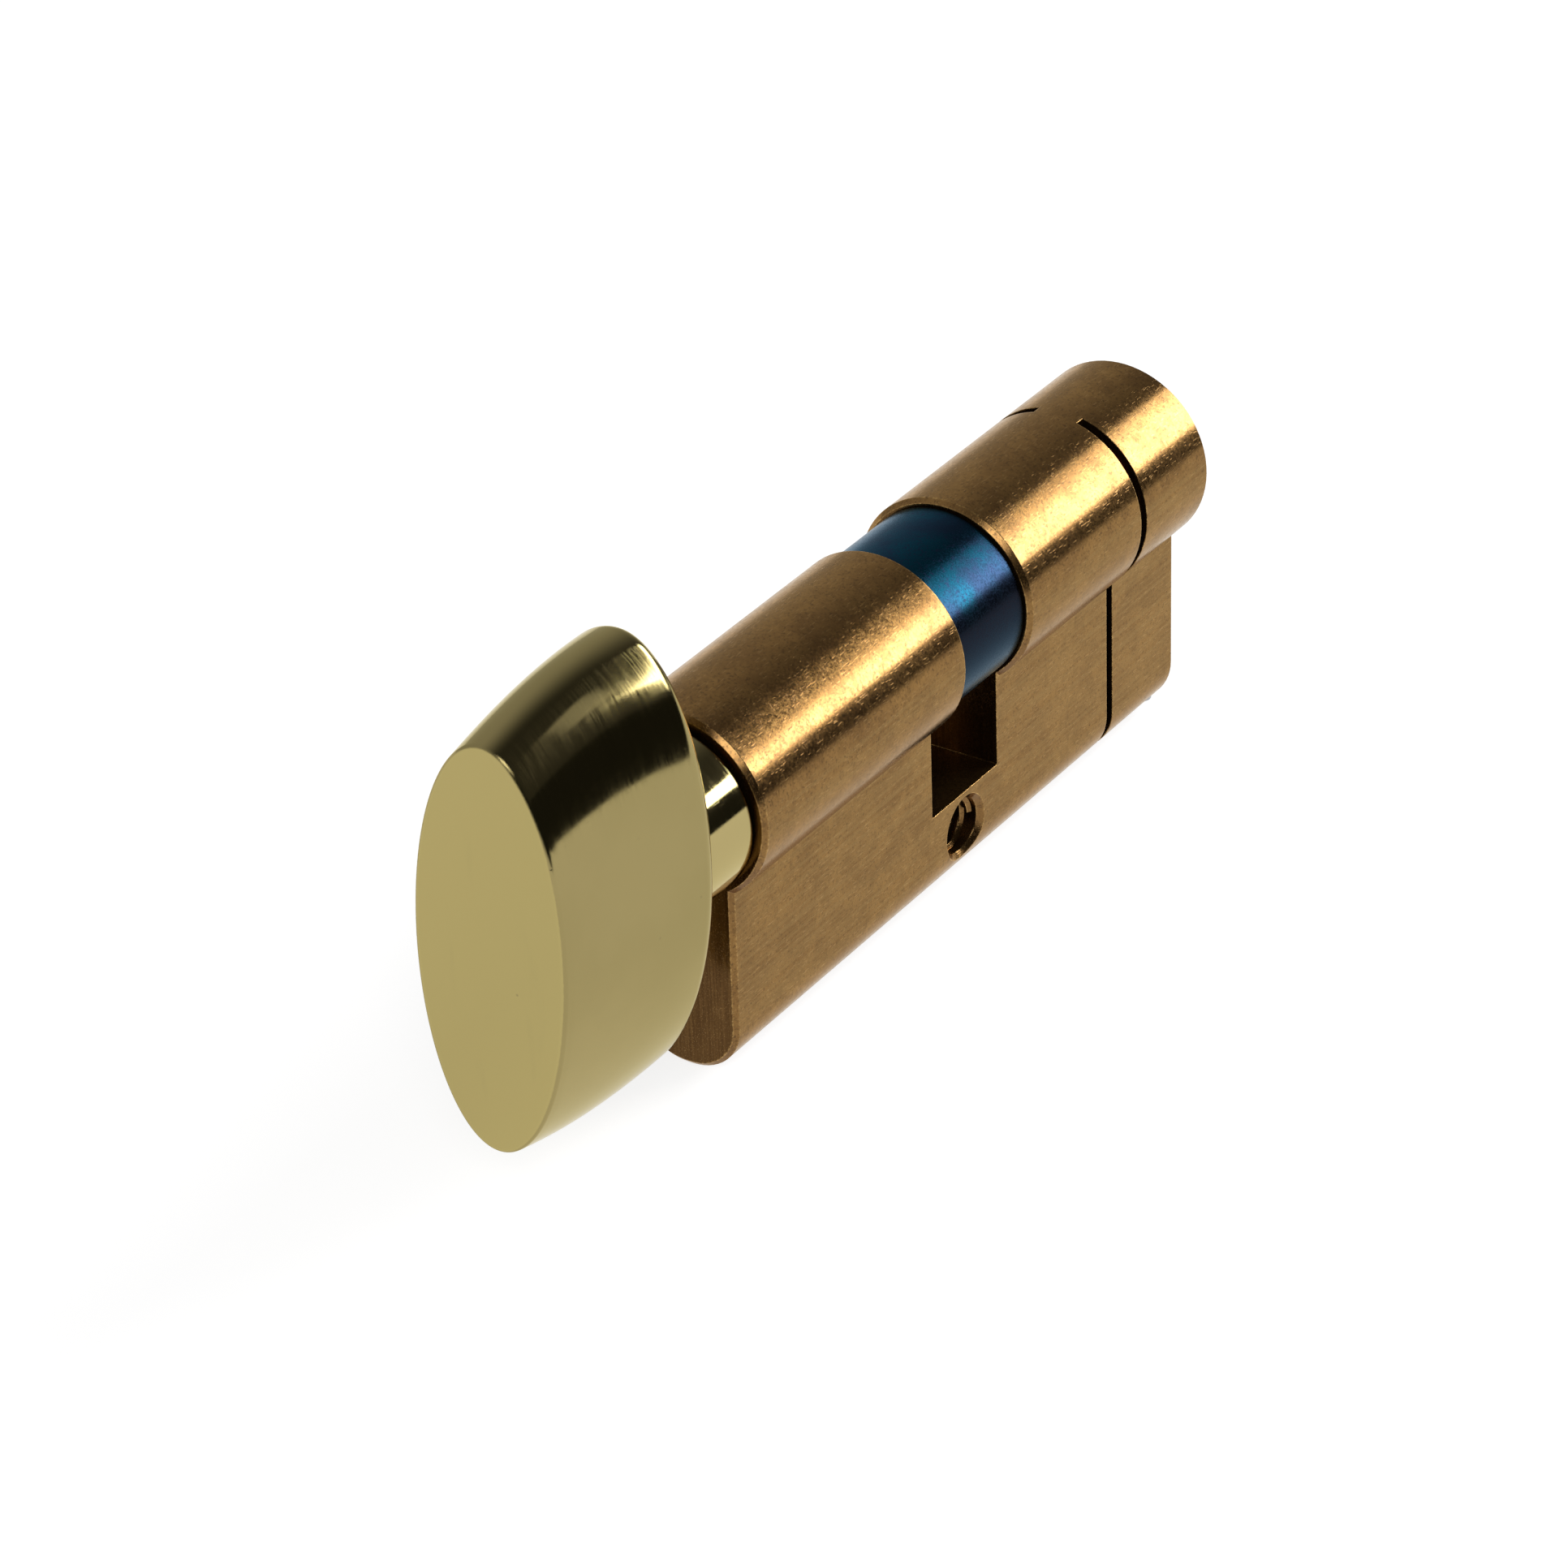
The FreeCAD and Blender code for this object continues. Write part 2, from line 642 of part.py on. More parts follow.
def make_cam():
    body = new_body("cam")
    half = gap_half - cell["cam_side_gap"]
    width = half * 2
    sketch = new_sketch(body, "ring_sketch", "YZ_Plane", -half)
    draw_circle(sketch, 0, 0, cell["cam_diameter"] / 2)
    extrude(body, "Pad", "ring", sketch, width)
    sketch = new_sketch(body, "nose_sketch", "YZ_Plane", -half, cell["nose_angle"])
    side = cell["nose_width"] / 2
    tip_side = side - cell["nose_corner"]
    tip = -chord_height(cell["cam_reach"], tip_side)
    draw_outline(sketch, [
        (-side, 0),
        (-side, tip + cell["nose_corner"]),
        (-tip_side, tip, cell["cam_reach"], 1),
        (tip_side, tip),
        (side, tip + cell["nose_corner"]),
        (side, 0),
    ])
    extrude(body, "Pad", "nose", sketch, width)
    doc.recompute()
    sketch = new_sketch(body, "cam_bore_sketch", "XZ_Plane")
    recess_r = cell["cam_recess"] / 2
    bore = tail_r + cell["running_gap"]
    draw_outline(sketch, [
        (-half - PAST, 0),
        (-half - PAST, recess_r),
        (-recess_floor, recess_r),
        (-recess_floor, bore),
        (clutch_recess, bore),
        (clutch_recess, recess_r),
        (half + PAST, recess_r),
        (half + PAST, 0),
    ])
    checked_cut(body, turn_round(body, "Groove", "cam_bore", sketch, "X_Axis"))
    sketch = new_sketch(body, "cam_slot_sketch", "YZ_Plane", -half)
    end = chord_height(lug_slot_r, lug_slot_half)
    draw_outline(sketch, [
        (-end, -lug_slot_half),
        (end, -lug_slot_half, lug_slot_r, 1),
        (end, lug_slot_half),
        (-end, lug_slot_half, lug_slot_r, 1),
    ])
    checked_cut(body, extrude(body, "Pocket", "cam_slots", sketch, width))
    return [body]


def make_circlip(name, start):
    """A snap ring in the groove beside a face of the cam gap."""
    body = new_body(name)
    sketch = new_sketch(body, f"{name}_sketch", "XZ_Plane")
    inner = groove_r + cell["side_gap"]
    outer = cell["clip_outer"] / 2
    draw_outline(sketch, [
        (start, inner),
        (start + cell["clip_thick"], inner),
        (start + cell["clip_thick"], outer),
        (start, outer),
    ])
    turn_round(body, "Revolution", f"{name}_ring", sketch, "X_Axis", as_size(360) - cell["clip_opening"])
    return [body]


def make_clutch():
    body = new_body("clutch")
    sketch = new_sketch(body, "core_sketch", "YZ_Plane", clutch_low)
    draw_circle(sketch, 0, 0, core_r)
    extrude(body, "Pad", "core", sketch, cell["clutch_core_length"])
    sketch = new_sketch(body, "bar_sketch", "YZ_Plane", clutch_low)
    draw_outline(sketch, lug_corners(lug_r))
    extrude(body, "Pad", "bar", sketch, cell["clutch_thick"])
    return [body]


# Pins, springs and stoppers
def make_turned_pin(name, along, aside, corners):
    """A round pin with its axis along Z, standing at a place along X and aside in Y."""
    body = new_body(name)
    sketch = new_sketch(body, f"{name}_sketch", "XZ_Plane")
    draw_outline(sketch, corners)
    turn_round(body, "Revolution", f"{name}_turned", sketch, "Z_Axis")
    bind(body, "Placement.Base.x", along)
    bind(body, "Placement.Base.y", aside)
    return body


def make_key_pin(number):
    """Pointed pin in the plug. Its foot is just inside the plug's surface, at the shear line."""
    foot_flat = cell["pin_foot_flat"] / 2
    foot = -chord_height(shaft_r - cell["side_gap"] / 2, foot_flat)
    shoulder = -chord_height(shaft_r - cell["side_gap"] / 2, pin_r)
    tip = foot + cell["key_pin_short"] + cell["key_pin_step"] * KEY_PIN_STEPS[number]
    return make_turned_pin(f"key_pin_{number + 1}", pin_place(number), 0, [
        (0, foot),
        (foot_flat, foot),
        (pin_r, shoulder),
        (pin_r, tip - cell["pin_tip"]),
        (cell["pin_tip_flat"] / 2, tip),
        (0, tip),
    ])


def make_driver_pin(number):
    bevelled = pin_r - cell["driver_chamfer"]
    return make_turned_pin(f"driver_pin_{number + 1}", pin_place(number), 0, [
        (0, driver_low),
        (bevelled, driver_low),
        (pin_r, driver_low + cell["driver_chamfer"]),
        (pin_r, -bore_r - cell["driver_chamfer"]),
        (bevelled, -bore_r),
        (0, -bore_r),
    ])


def make_stopper(number):
    radius = chamber_r - cell["snug_gap"]
    return make_turned_pin(f"chamber_plug_{number + 1}", pin_place(number), 0, [
        (0, stopper_low),
        (radius, stopper_low),
        (radius, stopper_high),
        (0, stopper_high),
    ])


def make_guard_pin(number):
    along, aside = guard_places()[number]
    low = web_bottom + cell["guard_recess"]
    radius = cell["guard_diameter"] / 2
    return make_turned_pin(f"anti_drill_pin_{number + 1}", along, aside, [
        (0, low),
        (radius, low),
        (radius, low + cell["guard_length"]),
        (0, low + cell["guard_length"]),
    ])


def make_spring(name, wire, coil, turns, length):
    """A coil spring that starts at its own origin and runs up its own Z axis.

    Each turn is two half rings, tilted to either side so that they meet without a kink."""
    rise = (length - wire) / (turns * 2)
    halves = []
    for step in range(round(turns.number * 2)):
        side = 1 if step % 2 == 0 else -1
        section = doc.addObject("Part::Circle", f"{name}_wire_{step}")
        bind(section, "Radius", wire / 2)
        section.Placement = Placement(Vector(coil.number * side / 2, 0, 0), Rotation(X_DIRECTION, 90))
        bind(section, "Placement.Base.x", coil * side / 2)
        bind(section, "Placement.Base.z", rise * step)
        half = doc.addObject("Part::Revolution", f"{name}_half_{step}")
        half.Source = section
        half.Solid = True
        half.Angle = 180
        half.Axis = Vector(rise.number * side, 0, coil.number)
        bind(half, "Axis.x", rise * side)
        bind(half, "Axis.z", coil)
        bind(half, "Base.z", rise * (step + 0.5))
        halves.append(half)
    spring = doc.addObject("Part::MultiFuse", name)
    spring.Label = name
    spring.Shapes = halves
    return spring


def make_pin_spring(number):
    wire = cell["pin_wire"]
    spring = make_spring(f"pin_spring_{number + 1}", wire, cell["pin_coil"], cell["pin_turns"],
                         driver_low - stopper_high - cell["side_gap"] * 2)
    bind(spring, "Placement.Base.x", pin_place(number))
    bind(spring, "Placement.Base.z", stopper_high + cell["side_gap"] + wire / 2)
    return spring


def make_clutch_spring():
    wire = cell["clutch_wire"]
    low = -cell["tail_gap"] - cell["clutch_spring_depth"] + cell["side_gap"]
    spring = make_spring("clutch_spring", wire, cell["clutch_coil"], cell["clutch_turns"],
                         clutch_low - low - cell["side_gap"])
    spring.Placement = Placement(Vector(0, 0, 0), Rotation(Y_DIRECTION, 90))
    bind(spring, "Placement.Base.x", low + wire / 2)
    return spring


# Thumb turn
def knob_oval(name, along, width, height):
    oval = doc.addObject("Part::Ellipse", name)
    bind(oval, "MajorRadius", height / 2)
    bind(oval, "MinorRadius", width / 2)
    oval.Placement = Placement(Vector(along.number, 0, 0), Rotation(Y_DIRECTION, -90))
    bind(oval, "Placement.Base.x", along)
    return oval


def round_edges(name, base, x, radius):
    """Round the edges of a solid that lie in the plane at x."""
    rounded = doc.addObject("Part::Fillet", name)
    rounded.Base = base
    numbers = [number for number, edge in enumerate(base.Shape.Edges, start=1) if lies_at(edge, x)]
    rounded.Edges = [(number, radius, radius) for number in numbers]
    doc.recompute()
    return rounded


def make_turn_knob():
    """The oval knob and its neck are one casting, with a square socket and a tapped hole."""
    middle = knob_back - cell["knob_depth"] / 2
    ovals = [
        knob_oval("oval_front", knob_front, knob_width - cell["knob_front_taper"], cell["knob_front_height"]),
        knob_oval("oval_middle", middle, knob_width - cell["knob_middle_taper"], cell["knob_middle_height"]),
        knob_oval("oval_back", knob_back, knob_width, cell["knob_back_height"]),
    ]
    doc.recompute()
    grip = doc.addObject("Part::Loft", "grip")
    grip.Sections = ovals
    grip.Solid = True
    grip.Placement = Placement(Vector(0, 0, 0), Rotation(X_DIRECTION, cell["knob_lean"].number))
    bind(grip, "Placement.Rotation.Angle", cell["knob_lean"])
    doc.recompute()
    front_round = round_edges("front_round", grip, knob_front.number, cell["knob_front_round"].number)
    grip_round = round_edges("back_round", front_round, knob_back.number, cell["knob_back_round"].number)
    neck = doc.addObject("Part::Cylinder", "neck")
    bind(neck, "Radius", neck_r)
    bind(neck, "Height", cell["neck_length"] + PAST)
    neck.Placement = Placement(Vector(knob_back.number - PAST, 0, 0), Rotation(Y_DIRECTION, 90))
    bind(neck, "Placement.Base.x", knob_back - PAST)
    doc.recompute()
    neck_edge = doc.addObject("Part::Chamfer", "neck_edge")
    neck_edge.Base = neck
    numbers = [number for number, edge in enumerate(neck.Shape.Edges, start=1)
               if lies_at(edge, neck_end.number)]
    size = cell["neck_chamfer"].number
    neck_edge.Edges = [(number, size, size) for number in numbers]
    doc.recompute()
    casting = doc.addObject("Part::Fuse", "casting")
    casting.Base = grip_round
    casting.Tool = neck_edge
    socket = doc.addObject("Part::Box", "socket")
    socket_half = drive_half + cell["drive_gap"]
    bind(socket, "Length", neck_end - drive_end + cell["drive_end_gap"] + PAST)
    bind(socket, "Width", socket_half * 2)
    bind(socket, "Height", socket_half * 2)
    bind(socket, "Placement.Base.x", drive_end - cell["drive_end_gap"])
    bind(socket, "Placement.Base.y", -socket_half)
    bind(socket, "Placement.Base.z", -socket_half)
    tapped = doc.addObject("Part::Cylinder", "tapped_hole")
    bind(tapped, "Radius", cell["grub_diameter"] / 2 + cell["snug_gap"])
    bind(tapped, "Height", neck_r + PAST)
    tapped.Placement = Placement(Vector(0, 0, 0), Rotation(X_DIRECTION, -90))
    bind(tapped, "Placement.Base.x", neck_end - cell["grub_place"])
    openings = doc.addObject("Part::Fuse", "openings")
    openings.Base = socket
    openings.Tool = tapped
    knob = doc.addObject("Part::Cut", "turn_knob")
    knob.Label = "turn_knob"
    knob.Base = casting
    knob.Tool = openings
    return [knob]


def make_grub_screw():
    body = new_body("knob_grub_screw")
    inner = drive_half + cell["side_gap"]
    outer = neck_r - cell["grub_recess"]
    sketch = new_sketch(body, "grub_sketch", "XY_Plane")
    draw_outline(sketch, [
        (0, inner),
        (cell["grub_diameter"] / 2, inner),
        (cell["grub_diameter"] / 2, outer),
        (0, outer),
    ])
    turn_round(body, "Revolution", "grub_turned", sketch, "Y_Axis")
    doc.recompute()
    sketch = new_sketch(body, "hexagon_sketch", "XZ_Plane", -outer)
    corner = cell["grub_socket"] / math.sqrt(3)
    flat = cell["grub_socket"] / 2
    draw_outline(sketch, [
        (corner, 0),
        (corner / 2, flat),
        (-corner / 2, flat),
        (-corner, 0),
        (-corner / 2, -flat),
        (corner / 2, -flat),
    ])
    checked_cut(body, extrude(body, "Pocket", "hexagon", sketch, cell["grub_socket_depth"]))
    bind(body, "Placement.Base.x", neck_end - cell["grub_place"])
    return [body]


def make_pieces():
    pieces = make_housing() + make_cam() + make_key_plug() + make_turn_spindle() + make_clutch()
    pieces += make_circlip("plug_circlip", groove_inner + cell["side_gap"])
    pieces += make_circlip("spindle_circlip", -gap_half + cell["side_gap"])
    pieces += [make_clutch_spring()]
    for number in range(PIN_COUNT):
        pieces += [make_key_pin(number), make_driver_pin(number)]
        pieces += [make_pin_spring(number), make_stopper(number)]
    pieces += [make_guard_pin(number) for number in range(len(guard_places()))]
    pieces += make_turn_knob() + make_grub_screw()
    return pieces


def check_and_write(pieces):
    doc.recompute()
    failed = [obj.Name for obj in doc.Objects if {"Invalid", "Error"} & set(obj.State)]
    if failed:
        raise RuntimeError(f"objects that failed: {failed}")
    for piece in pieces:
        shape = piece.Shape
        if shape.isNull() or not shape.isValid() or len(shape.Solids) != 1:
            raise RuntimeError(f"{piece.Label} is not one valid solid")
    os.makedirs("parts", exist_ok=True)
    for piece in pieces:
        piece.Shape.exportStep(f"parts/{piece.Label}.step")
        print(f"{piece.Label}: {piece.Shape.Volume:.2f} mm3")


check_and_write(make_pieces())
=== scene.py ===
import bpy
import json
import math
from mathutils import Matrix, Quaternion, Vector


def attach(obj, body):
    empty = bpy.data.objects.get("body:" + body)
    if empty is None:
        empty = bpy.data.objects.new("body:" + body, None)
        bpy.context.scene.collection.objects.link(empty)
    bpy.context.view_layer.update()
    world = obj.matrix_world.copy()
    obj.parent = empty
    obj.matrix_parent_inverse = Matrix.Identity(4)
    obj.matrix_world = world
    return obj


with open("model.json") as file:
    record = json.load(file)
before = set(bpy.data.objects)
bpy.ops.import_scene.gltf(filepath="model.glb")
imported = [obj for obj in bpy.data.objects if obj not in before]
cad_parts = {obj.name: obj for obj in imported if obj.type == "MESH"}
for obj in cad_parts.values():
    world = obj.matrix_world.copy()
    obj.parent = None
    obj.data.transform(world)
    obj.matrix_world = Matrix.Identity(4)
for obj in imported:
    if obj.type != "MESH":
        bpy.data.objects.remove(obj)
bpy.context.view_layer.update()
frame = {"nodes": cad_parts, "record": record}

# Euro profile cylinder with a thumb turn: looks, light and camera.
# +X runs along the barrel to the key's face and +Z goes up. Lengths are in metres, angles in degrees.
MM = 0.001

# Camera at the photograph's viewing angle. Its focal length and the origin's place are in pixels.
VIEW_AZIMUTH, VIEW_ELEVATION, VIEW_ROLL = -56.114, 30.478, -1.933
VIEW_DISTANCE = 508.01 * MM
IMAGE_SIDE = 1932.0
FOCAL_LENGTH = 7563.96
ORIGIN_PIXEL = (1122.70, 761.38)
SENSOR_WIDTH = 36.0

# Places along X where one look of the knob gives way to the next
KNOB_FRONT_RIM = (-60.2 * MM, -58.6 * MM)
KNOB_BACK_RIM = (-43.2 * MM, -44.8 * MM)
NECK_START = (-41.9 * MM, -41.5 * MM)

# Thread of the fixing hole. A ridge's points are given along the pitch and away from the hole's axis.
THREAD_OUTER, THREAD_INNER, THREAD_PITCH = 2.5 * MM, 2.12 * MM, 0.8 * MM
THREAD_LENGTH = 8.95 * MM - 2 * 0.45 * MM
THREAD_STEPS = 48
RIDGE_WIDTH = 0.70
RIDGE = [(0.0, THREAD_OUTER), (0.28, THREAD_INNER), (0.42, THREAD_INNER), (RIDGE_WIDTH, THREAD_OUTER)]

# Floor and surroundings. A glow of 1 is white.
FLOOR_HEIGHT, FLOOR_REACH = -24.36 * MM, 12.0
FLOOR_TONE, FLOOR_GLOW = 0.45, 0.80
WORLD_LIGHT, WORLD_SEEN = 0.25, 1.0

# Dome that the metal mirrors. Its glow rises from dark to light between two places along Y.
ROOM_RADIUS, ROOM_FOOT, ROOM_STEPS = 3.0, -1.0, 48
ROOM_DARK, ROOM_LIGHT = 0.05, 0.55
ROOM_FADE = (-1.0, 1.9)

# Low dark card on the floor, along a line of points in millimetres
FLAG_LINE = [(480, 0), (320, -155), (-150, -155), (-205, -90), (-205, 20)]
FLAG_HEIGHT, FLAG_GLOW = 70 * MM, 0.02

# Lamps: name, azimuth, elevation, distance, width, height, power in watts, lean about their own axis
LAMPS = [
    ("key", -28.0, 21.0, 0.9, 0.56, 0.27, 6.2, 28.0),
    ("key_edge", -52.0, 31.0, 0.9, 0.14, 0.22, 0.05, 0.0),
    ("back", -152.0, 36.0, 1.0, 0.42, 0.42, 2.6, 0.0),
]


def put(name, data):
    """New object in the scene, made of a mesh, a lamp or a camera."""
    thing = bpy.data.objects.new(name, data)
    bpy.context.scene.collection.objects.link(thing)
    return thing


def put_mesh(name, points, faces, material):
    mesh = bpy.data.meshes.new(name)
    mesh.from_pydata(points, [], faces)
    mesh.update()
    mesh.materials.append(material)
    return put(name, mesh)


def rgb(red, green, blue):
    return red, green, blue, 1.0


WHITE = rgb(1.0, 1.0, 1.0)


# Camera
def look_axes(azimuth, elevation, roll):
    """The camera's right, up and back directions."""
    a, e, r = (math.radians(v) for v in (azimuth, elevation, roll))
    back = Vector((math.sin(a) * math.cos(e), -math.cos(a) * math.cos(e), math.sin(e)))
    level = Vector((math.cos(a), math.sin(a), 0.0))
    right = math.cos(r) * level + math.sin(r) * back.cross(level)
    return right, back.cross(right), back


def make_camera():
    right, up, back = look_axes(VIEW_AZIMUTH, VIEW_ELEVATION, VIEW_ROLL)
    aside = (ORIGIN_PIXEL[0] - IMAGE_SIDE / 2) * VIEW_DISTANCE / FOCAL_LENGTH
    above = (IMAGE_SIDE / 2 - ORIGIN_PIXEL[1]) * VIEW_DISTANCE / FOCAL_LENGTH
    data = bpy.data.cameras.new("camera")
    data.sensor_width = SENSOR_WIDTH
    data.lens = FOCAL_LENGTH / IMAGE_SIDE * SENSOR_WIDTH
    data.clip_start = 10 * MM
    camera = put("camera", data)
    place = Matrix((right, up, back)).transposed().to_4x4()
    place.translation = back * VIEW_DISTANCE - right * aside - up * above
    camera.matrix_world = place
    bpy.context.scene.camera = camera


# Materials
class Graph:
    """Builds a material's nodes. Every call gives back the output that the next one can use."""

    # The mixing node's two inputs and its output for each kind, because they share their names
    MIX_SOCKETS = {"VECTOR": (4, 5, 1), "RGBA": (6, 7, 2)}

    def __init__(self, name):
        self.material = bpy.data.materials.new(name)
        self.material.use_nodes = True
        self.nodes = self.material.node_tree.nodes
        self.links = self.material.node_tree.links
        self.shader = self.nodes["Principled BSDF"]
        coordinates = self.nodes.new("ShaderNodeTexCoord")
        self.place = coordinates.outputs["Object"]
        self.normal = coordinates.outputs["Normal"]

    def feed(self, socket, value):
        if isinstance(value, bpy.types.NodeSocket):
            self.links.new(value, socket)
        else:
            socket.default_value = value

    def parts(self, vector):
        """The three numbers of a place or a normal, along X, Y and Z."""
        node = self.nodes.new("ShaderNodeSeparateXYZ")
        self.links.new(vector, node.inputs[0])
        return node.outputs

    def stretched(self, scale, turn):
        node = self.nodes.new("ShaderNodeMapping")
        node.inputs["Scale"].default_value = scale
        node.inputs["Rotation"].default_value = turn
        self.links.new(self.place, node.inputs["Vector"])
        return node.outputs["Vector"]

    def noise(self, scale, detail, rough, vector=None, warp=0.0):
        node = self.nodes.new("ShaderNodeTexNoise")
        node.inputs["Scale"].default_value = scale
        node.inputs["Detail"].default_value = detail
        node.inputs["Roughness"].default_value = rough
        node.inputs["Distortion"].default_value = warp
        self.links.new(vector or self.place, node.inputs["Vector"])
        return node.outputs["Fac"]

    def lines(self, scale, turn=(0.0, 0.0, 0.0)):
        """Noise drawn out into lines, which run along the axis with the smallest scale."""
        return self.noise(1.0, 3.0, 0.6, self.stretched(scale, turn))

    def cells(self, scale, vector=None):
        """Distance to the nearest of many scattered points."""
        node = self.nodes.new("ShaderNodeTexVoronoi")
        node.inputs["Scale"].default_value = scale
        self.links.new(vector or self.place, node.inputs["Vector"])
        return node.outputs["Distance"]

    def scratches(self, scale, turn, long, width=0.17):
        """Short straight scratches that run one way, each far from the next."""
        drawn_out = self.stretched((scale, scale * long, scale * long), turn)
        return self.ramp(self.cells(1.0, drawn_out), width, width * 0.5)

    def ramp(self, value, low, high, start=0.0, shaded_end_faces=1.0):
        node = self.nodes.new("ShaderNodeMapRange")
        node.interpolation_type = "SMOOTHSTEP"
        self.feed(node.inputs["Value"], value)
        node.inputs["From Min"].default_value = low
        node.inputs["From Max"].default_value = high
        node.inputs["To Min"].default_value = start
        node.inputs["To Max"].default_value = shaded_end_faces
        return node.outputs["Result"]

    def math(self, work, a, b=0.0):
        node = self.nodes.new("ShaderNodeMath")
        node.operation = work
        self.feed(node.inputs[0], a)
        self.feed(node.inputs[1], b)
        return node.outputs[0]

    def plus(self, a, b):
        return self.math("ADD", a, b)

    def minus(self, a, b):
        return self.math("SUBTRACT", a, b)

    def times(self, a, b):
        return self.math("MULTIPLY", a, b)

    def larger(self, a, b):
        return self.math("MAXIMUM", a, b)

    def size(self, a):
        return self.math("ABSOLUTE", a)

    def mix(self, amount, a, b, kind="RGBA"):
        first, second, result = self.MIX_SOCKETS[kind]
        node = self.nodes.new("ShaderNodeMix")
        node.data_type = kind
        self.feed(node.inputs[0], amount)
        self.feed(node.inputs[first], a)
        self.feed(node.inputs[second], b)
        return node.outputs[result]

    def lay(self, color, mask, most, over):
        """Lays a colour over another where the mask is, at its strongest by most."""
        return self.mix(self.times(mask, most), color, over)

    def rounded(self, radius, samples=6):
        """Normal with the sharp edges broken, as tumbling leaves them."""
        node = self.nodes.new("ShaderNodeBevel")
        node.samples = samples
        node.inputs["Radius"].default_value = radius
        return node.outputs["Normal"]

    def edges(self, radius):
        """1 near a sharp edge, 0 on a flat or gently curved face."""
        plain = self.nodes.new("ShaderNodeNewGeometry")
        node = self.nodes.new("ShaderNodeVectorMath")
        node.operation = "DOT_PRODUCT"
        self.links.new(self.rounded(radius, 4), node.inputs[0])
        self.links.new(plain.outputs["Normal"], node.inputs[1])
        return self.ramp(node.outputs["Value"], 0.99, 0.90)

    def smoothed_flank(self):
        """Normal that is even along the knob's flank and only just rounded at its two rims."""
        along = self.parts(self.place)[0]
        flank = self.times(self.ramp(along, *KNOB_FRONT_RIM), self.ramp(along, *KNOB_BACK_RIM))
        return self.mix(flank, self.rounded(0.45 * MM), self.rounded(1.6 * MM, 16), "VECTOR")

    def bump(self, height, strength, distance, under):
        node = self.nodes.new("ShaderNodeBump")
        node.inputs["Strength"].default_value = strength
        node.inputs["Distance"].default_value = distance
        self.links.new(height, node.inputs["Height"])
        self.links.new(under, node.inputs["Normal"])
        return node.outputs["Normal"]

    def brushed_round(self, amount):
        """Fine lines round the X axis: they blur what is mirrored along X."""
        tangent = self.nodes.new("ShaderNodeTangent")
        tangent.direction_type = "RADIAL"
        tangent.axis = "X"
        self.links.new(tangent.outputs["Tangent"], self.shader.inputs["Tangent"])
        self.links.new(amount, self.shader.inputs["Anisotropic"])
        self.shader.inputs["Anisotropic Rotation"].default_value = 0.25

    def finish(self, color, roughness, normal, tint=WHITE, metallic=1.0):
        """Joins the metal's colour, roughness and normal to its shader."""
        self.links.new(color, self.shader.inputs["Base Color"])
        self.links.new(roughness, self.shader.inputs["Roughness"])
        self.links.new(normal, self.shader.inputs["Normal"])
        self.shader.inputs["Specular Tint"].default_value = tint
        self.shader.inputs["Metallic"].default_value = metallic
        return self.material


def satin_brass():
    """Tumbled brass of the housing: mottled patina, fine dents, scratches and worn edges, with painted shade on its
    end faces and on faces that point down.
    """
    g = Graph("satin_brass")
    patches = g.ramp(g.noise(230.0, 5.0, 0.62, warp=0.6), 0.36, 0.66)
    blots = g.ramp(g.noise(800.0, 4.0, 0.65, warp=0.8), 0.44, 0.62)
    specks = g.ramp(g.noise(3600.0, 3.0, 0.7), 0.50, 0.68)
    facing = g.parts(g.normal)
    side = g.ramp(g.size(facing[1]), 0.975, 0.998)
    # Painted shade: mask of the end faces
    shaded_end_faces = g.ramp(g.size(facing[0]), 0.90, 0.99)
    # Painted shade: mask of the faces that point down
    painted_shade_below = g.ramp(facing[2], -0.10, -0.75)
    milled = g.lines((60.0, 2600.0, 2600.0))
    sawn = g.lines((4200.0, 4200.0, 130.0))
    marks = g.larger(g.scratches(380.0, (0.3, 0.5, 0.9), 14.0), g.scratches(470.0, (1.1, -0.4, -0.6), 12.0))
    marks = g.larger(marks, g.scratches(700.0, (-0.7, 0.2, 1.9), 8.0))
    chipped = g.times(g.edges(0.20 * MM), g.ramp(g.noise(2600.0, 3.0, 0.7), 0.46, 0.60, 0.15, 1.0))

    color = g.lay(rgb(0.262, 0.145, 0.048), patches, 0.75, rgb(0.170, 0.090, 0.032))
    color = g.lay(color, blots, 0.35, rgb(0.155, 0.082, 0.028))
    color = g.lay(color, specks, 0.70, rgb(0.085, 0.046, 0.020))
    color = g.lay(color, g.times(side, g.ramp(milled, 0.35, 0.65)), 0.55, rgb(0.265, 0.165, 0.063))
    # Painted shade: faces that point down are darkened to a purplish brown
    color = g.lay(color, painted_shade_below, 0.70, rgb(0.120, 0.074, 0.062))
    # Painted shade: end faces are darkened to deep brown, with the real sawn lines showing through lighter
    color = g.lay(color, shaded_end_faces, g.ramp(sawn, 0.3, 0.7, 0.95, 0.6), rgb(0.075, 0.036, 0.011))
    color = g.lay(color, marks, 0.40, rgb(0.55, 0.35, 0.15))
    color = g.mix(chipped, color, rgb(0.60, 0.38, 0.14))

    rough = g.ramp(g.noise(3800.0, 4.0, 0.7), 0.35, 0.65, 0.13, 0.23)
    rough = g.plus(rough, g.times(side, 0.08))
    rough = g.plus(rough, g.times(g.larger(blots, specks), 0.05))

    level = g.bump(milled, 0.10, 0.012 * MM, g.rounded(0.12 * MM))
    level = g.bump(g.noise(1500.0, 3.0, 0.6), 0.02, 0.02 * MM, level)
    level = g.bump(g.noise(4500.0, 3.0, 0.7), 0.15, 0.004 * MM, level)
    level = g.bump(marks, 0.45, -0.006 * MM, level)
    return g.finish(color, rough, level, rgb(1.0, 0.85, 0.66), 0.94)


